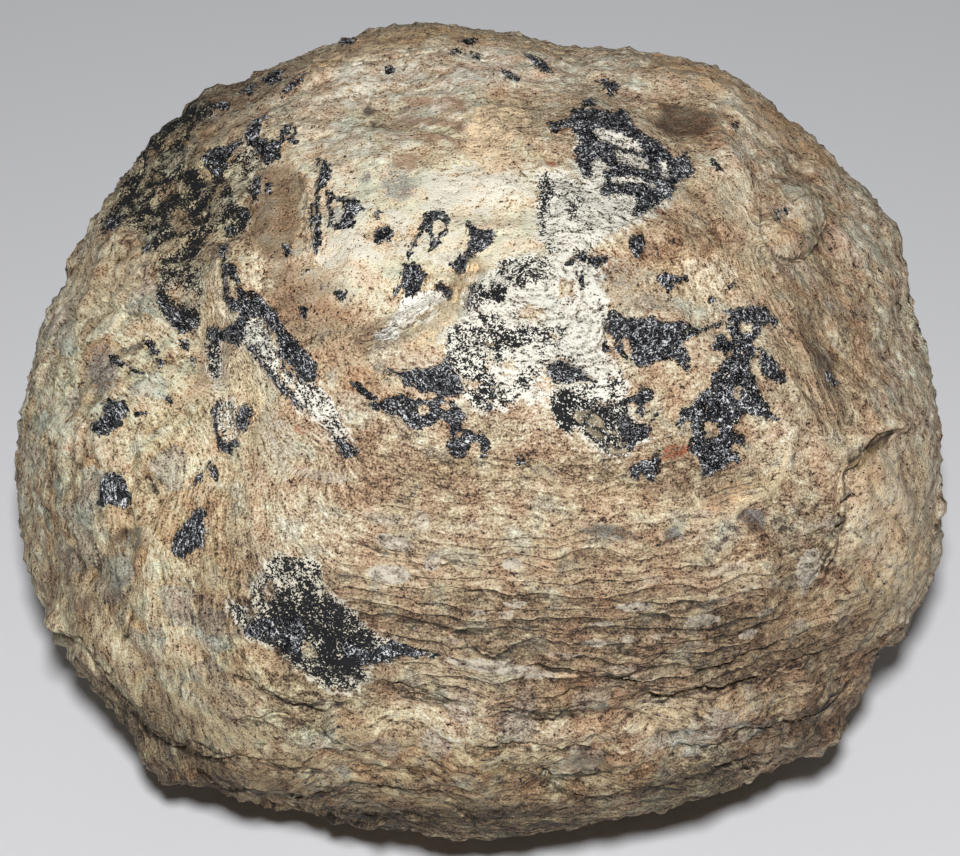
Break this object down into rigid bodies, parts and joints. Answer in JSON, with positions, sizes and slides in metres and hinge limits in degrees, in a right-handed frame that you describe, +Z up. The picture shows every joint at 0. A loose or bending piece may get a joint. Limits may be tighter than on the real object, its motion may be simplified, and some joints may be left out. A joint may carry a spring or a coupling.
{
  "type": "coal ball",
  "caption": "Rounded, flattened lump of petrified peat with ledged flanks, a smooth domed top and a small flat spot to rest on.",
  "frame": {"origin": "on the surface that the lump rests on, under the middle of its box", "axes": "+Z up, away from the resting spot; +X to the right along its longest side; +Y to its back"},
  "size_m": [0.1382, 0.1364, 0.1002],
  "materials": {
    "petrified_peat": "matt, rough tan-brown stone with patches of glossy black coal and cream mineral"
  },
  "bodies": {
    "root": {"coal_ball": "petrified_peat"}
  },
  "joints": []
}
